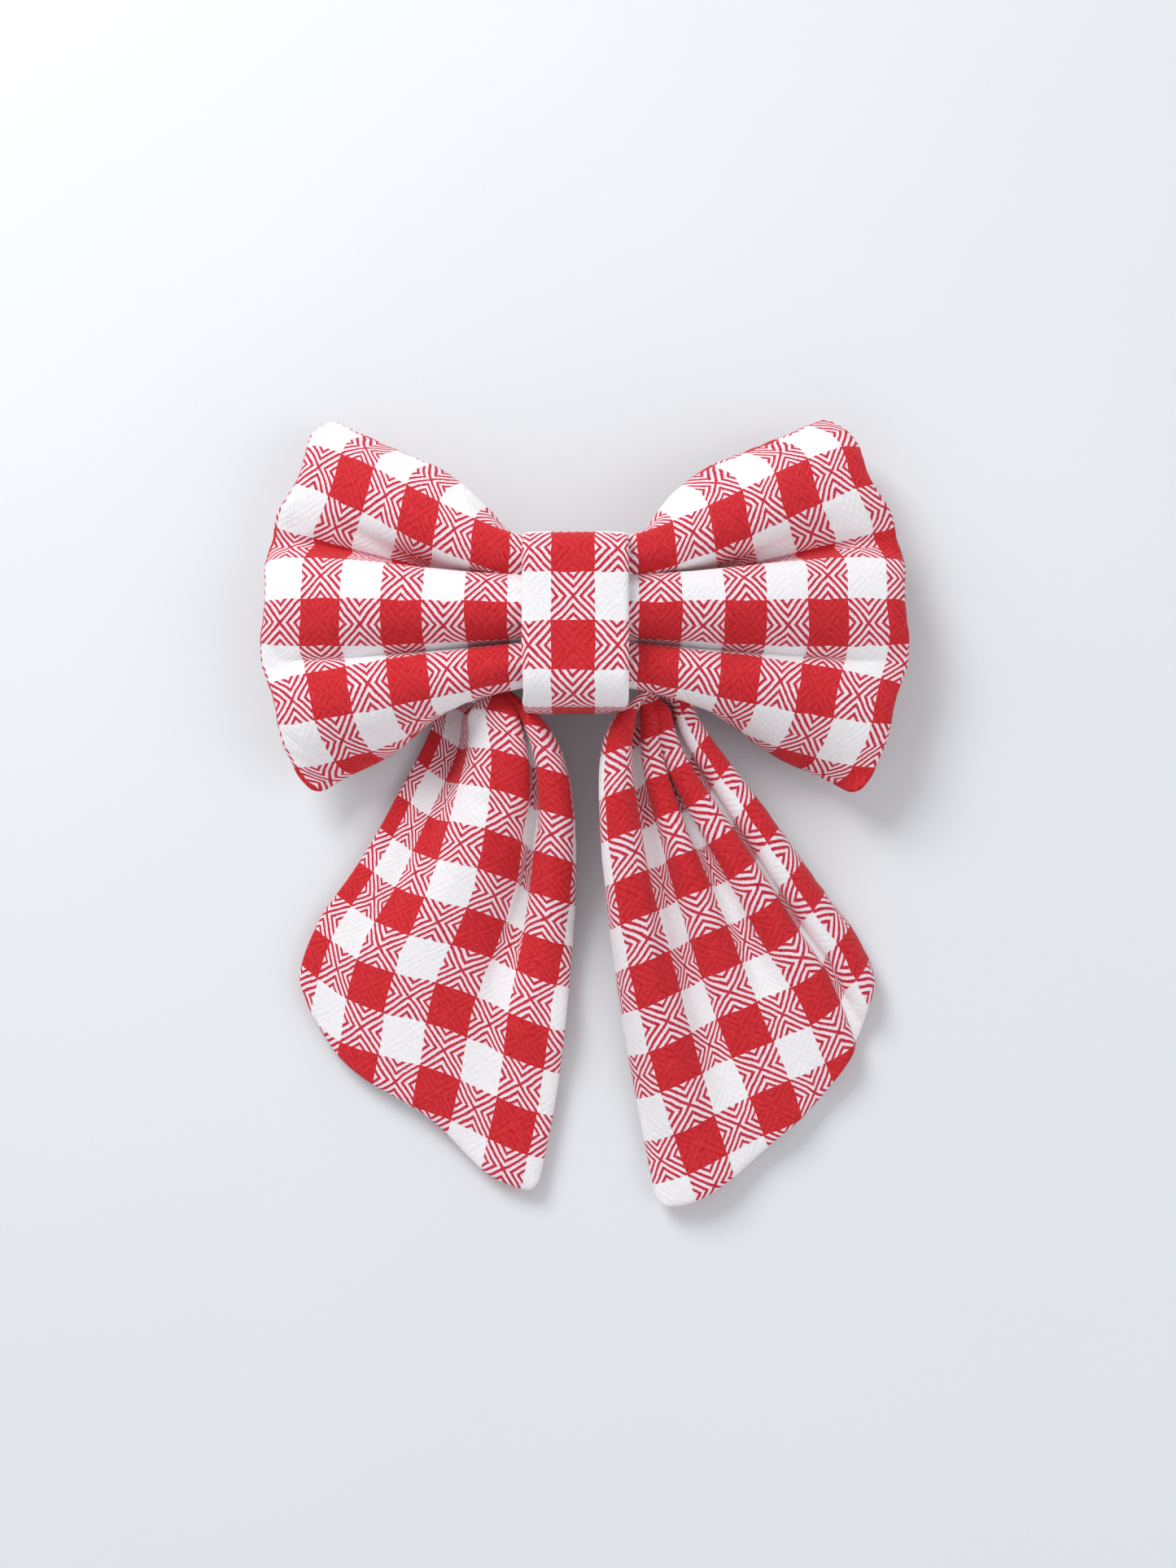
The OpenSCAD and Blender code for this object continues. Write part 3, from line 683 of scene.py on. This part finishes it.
KNOT_W, KNOT_H, KNOT_R = 24.4, 41.0, 8.0       # width, height and corner radius
KNOT_Z0, KNOT_Z1 = 12.2, 36.5
KNOT_HALF_THICK = 1.25
KNOT_ROW, KNOT_ROW_SHIFT = 1.13, 1.2           # the knot's checks are a little tall
ROLLED = 1.57                                  # cloth on a rolled edge, in half thicknesses


def make_knot():
    """A padded sleeve round the pinch: its sides roll in, its face swells a little."""
    n, m = 120, 26
    straight = [KNOT_H - 2 * KNOT_R, KNOT_Z1 - KNOT_Z0 - 2 * KNOT_R]
    arc = math.pi * KNOT_R / 2
    loop = 2 * sum(straight) + 4 * arc
    s = np.linspace(0, loop, n, endpoint=False)

    def on_loop(s):
        """A point and the outward direction, s from the middle of the face towards the bow's top."""
        s = (s + straight[0] / 2) % loop
        y, z, a = -straight[0] / 2, KNOT_R + straight[1] / 2, math.pi / 2
        for length in (straight[0], straight[1], straight[0], straight[1]):
            if s <= length:
                return (y + s * math.sin(a), z - s * math.cos(a)), (math.cos(a), math.sin(a))
            y, z = y + length * math.sin(a), z - length * math.cos(a)
            s -= length
            cy, cz = y - KNOT_R * math.cos(a), z - KNOT_R * math.sin(a)
            if s <= arc:
                b = a - s / KNOT_R
                return (cy + KNOT_R * math.cos(b), cz + KNOT_R * math.sin(b)), (math.cos(b), math.sin(b))
            s, a = s - arc, a - math.pi / 2
            y, z = cy + KNOT_R * math.cos(a), cz + KNOT_R * math.sin(a)
        return (y, z), (math.cos(a), math.sin(a))

    around = [on_loop(q) for q in s]
    yz, out = np.array([a[0] for a in around]), np.array([a[1] for a in around])
    thick = KNOT_HALF_THICK
    points = []
    # round the sleeve's own section: outer face, rolled edge, inner face, rolled edge
    w = KNOT_W / 2 - thick
    section = ([(x, 1.0, 0.0) for x in np.linspace(-w, w, m)]
               + [(w, math.cos(b), math.sin(b)) for b in np.linspace(0, math.pi, 7)[1:-1]]
               + [(x, -1.0, 0.0) for x in np.linspace(w, -w, m)]
               + [(-w, math.cos(b), -math.sin(b)) for b in np.linspace(math.pi, 0, 7)[1:-1]])
    for x, depth, side in section:
        crown = 0.35 * (1 - (x / w) ** 2) if depth > 0 else 0.0
        face = smooth((yz[:, 1] - 4) / 6)
        squeeze = 1 - 0.035 * smooth((-yz[:, 0] - 4) / 18) * face * (x < 0)
        in_out = (depth - 1) * thick + crown * face
        ring = np.column_stack([np.full(n, x + side * thick) * squeeze,
                                yz[:, 0] + KNOT_CY + out[:, 0] * in_out,
                                yz[:, 1] + (KNOT_Z0 + KNOT_Z1) / 2 + out[:, 1] * in_out])
        points.append(ring)
    points = np.array(points)
    k = len(section)
    at = np.arange(k * n).reshape(k, n)
    nxt = np.roll(at, -1, axis=1)
    after = np.roll(at, -1, axis=0)
    faces = np.stack([at, after, np.roll(after, -1, axis=1), nxt], -1).reshape(-1, 4)
    # cloth coordinates: columns as the bow's, rows from the face's own middle
    s_signed = np.where(s > loop / 2, s - loop, s)
    row = (s_signed + KNOT_CY + KNOT_ROW_SHIFT) / KNOT_ROW + CHECK
    col = np.array([x + side * thick * ROLLED + FIRST_COL for x, depth, side in section])
    uv = np.empty((k, n, 4, 2))
    step_row = (s[1] - s[0]) / KNOT_ROW
    for c, (da, db) in enumerate(((0, 0), (1, 0), (1, 1), (0, 1))):
        uv[:, :, c, 0] = np.roll(col, -da)[:, None]
        uv[:, :, c, 1] = row[None, :] + db * step_row
    loop_uv = uv.reshape(-1, 4, 2)[:, ::-1] / UV_UNIT
    piece = new_mesh("knot", points.reshape(-1, 3), faces[:, ::-1].tolist(), loop_uv)
    subdivide(piece)
    dress(piece, FLANNEL)
    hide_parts("knot_band", "knot_fleece")
    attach(piece, "bow")


def finish_metal():
    for node in ("barrette_base", "barrette_tension_bar", "barrette_clasp_arm", "latch_bracket",
                 "latch_ear_upper", "latch_ear_lower"):
        dress(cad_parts[node], STEEL)
    for node in ("barrette_hinge_pin", "latch_rivet"):
        dress(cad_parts[node], BRASS)
    for node in ("bow_cinch_thread", "tail_cinch_thread", "knot_seam_stitches"):
        dress(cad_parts[node], THREAD)


def make_stage():
    bpy.context.scene.view_settings.view_transform = "Standard"
    bpy.ops.mesh.primitive_plane_add(size=4, location=(0, 0, -0.0002))
    floor = bpy.context.object
    floor.name = "floor"
    dress(floor, pale_paper())
    world = bpy.data.worlds.new("world")
    bpy.context.scene.world = world
    world.use_nodes = True
    sky = world.node_tree.nodes["Background"]
    sky.inputs["Color"].default_value = rgb(240, 241, 246)
    sky.inputs["Strength"].default_value = 0.54
    lights = (("key", (-0.45, 0.6, 0.6), 0.45, 6.3),
              ("fill", (0.7, -0.2, 0.6), 0.7, 1.8),
              ("low", (0.0, -0.8, 0.35), 0.6, 0.9))
    for name, at, size, power in lights:
        lamp = bpy.data.lights.new(name, "AREA")
        lamp.energy, lamp.size = power, size
        light = bpy.data.objects.new(name, lamp)
        light.location = at
        light.rotation_euler = (-Vector(at)).to_track_quat("-Z", "Y").to_euler()
        bpy.context.scene.collection.objects.link(light)


def make_camera():
    target = place([2.88, -33.27, 0])
    distance, elevation = 0.42, math.radians(82)
    lens = bpy.data.cameras.new("camera")
    lens.sensor_fit, lens.sensor_height, lens.lens = "VERTICAL", 24.0, 26.37
    lens.clip_start = 0.01
    camera = bpy.data.objects.new("camera", lens)
    camera.location = target + distance * np.array([0, -math.cos(elevation), math.sin(elevation)])
    camera.rotation_euler = (math.pi / 2 - elevation, 0, 0)
    bpy.context.scene.collection.objects.link(camera)
    bpy.context.scene.camera = camera


make_camera()
make_stage()
finish_metal()
make_slit_stitches(make_bow())
make_gather()
for tail_name in TAILS:
    make_tail(tail_name)
make_knot()
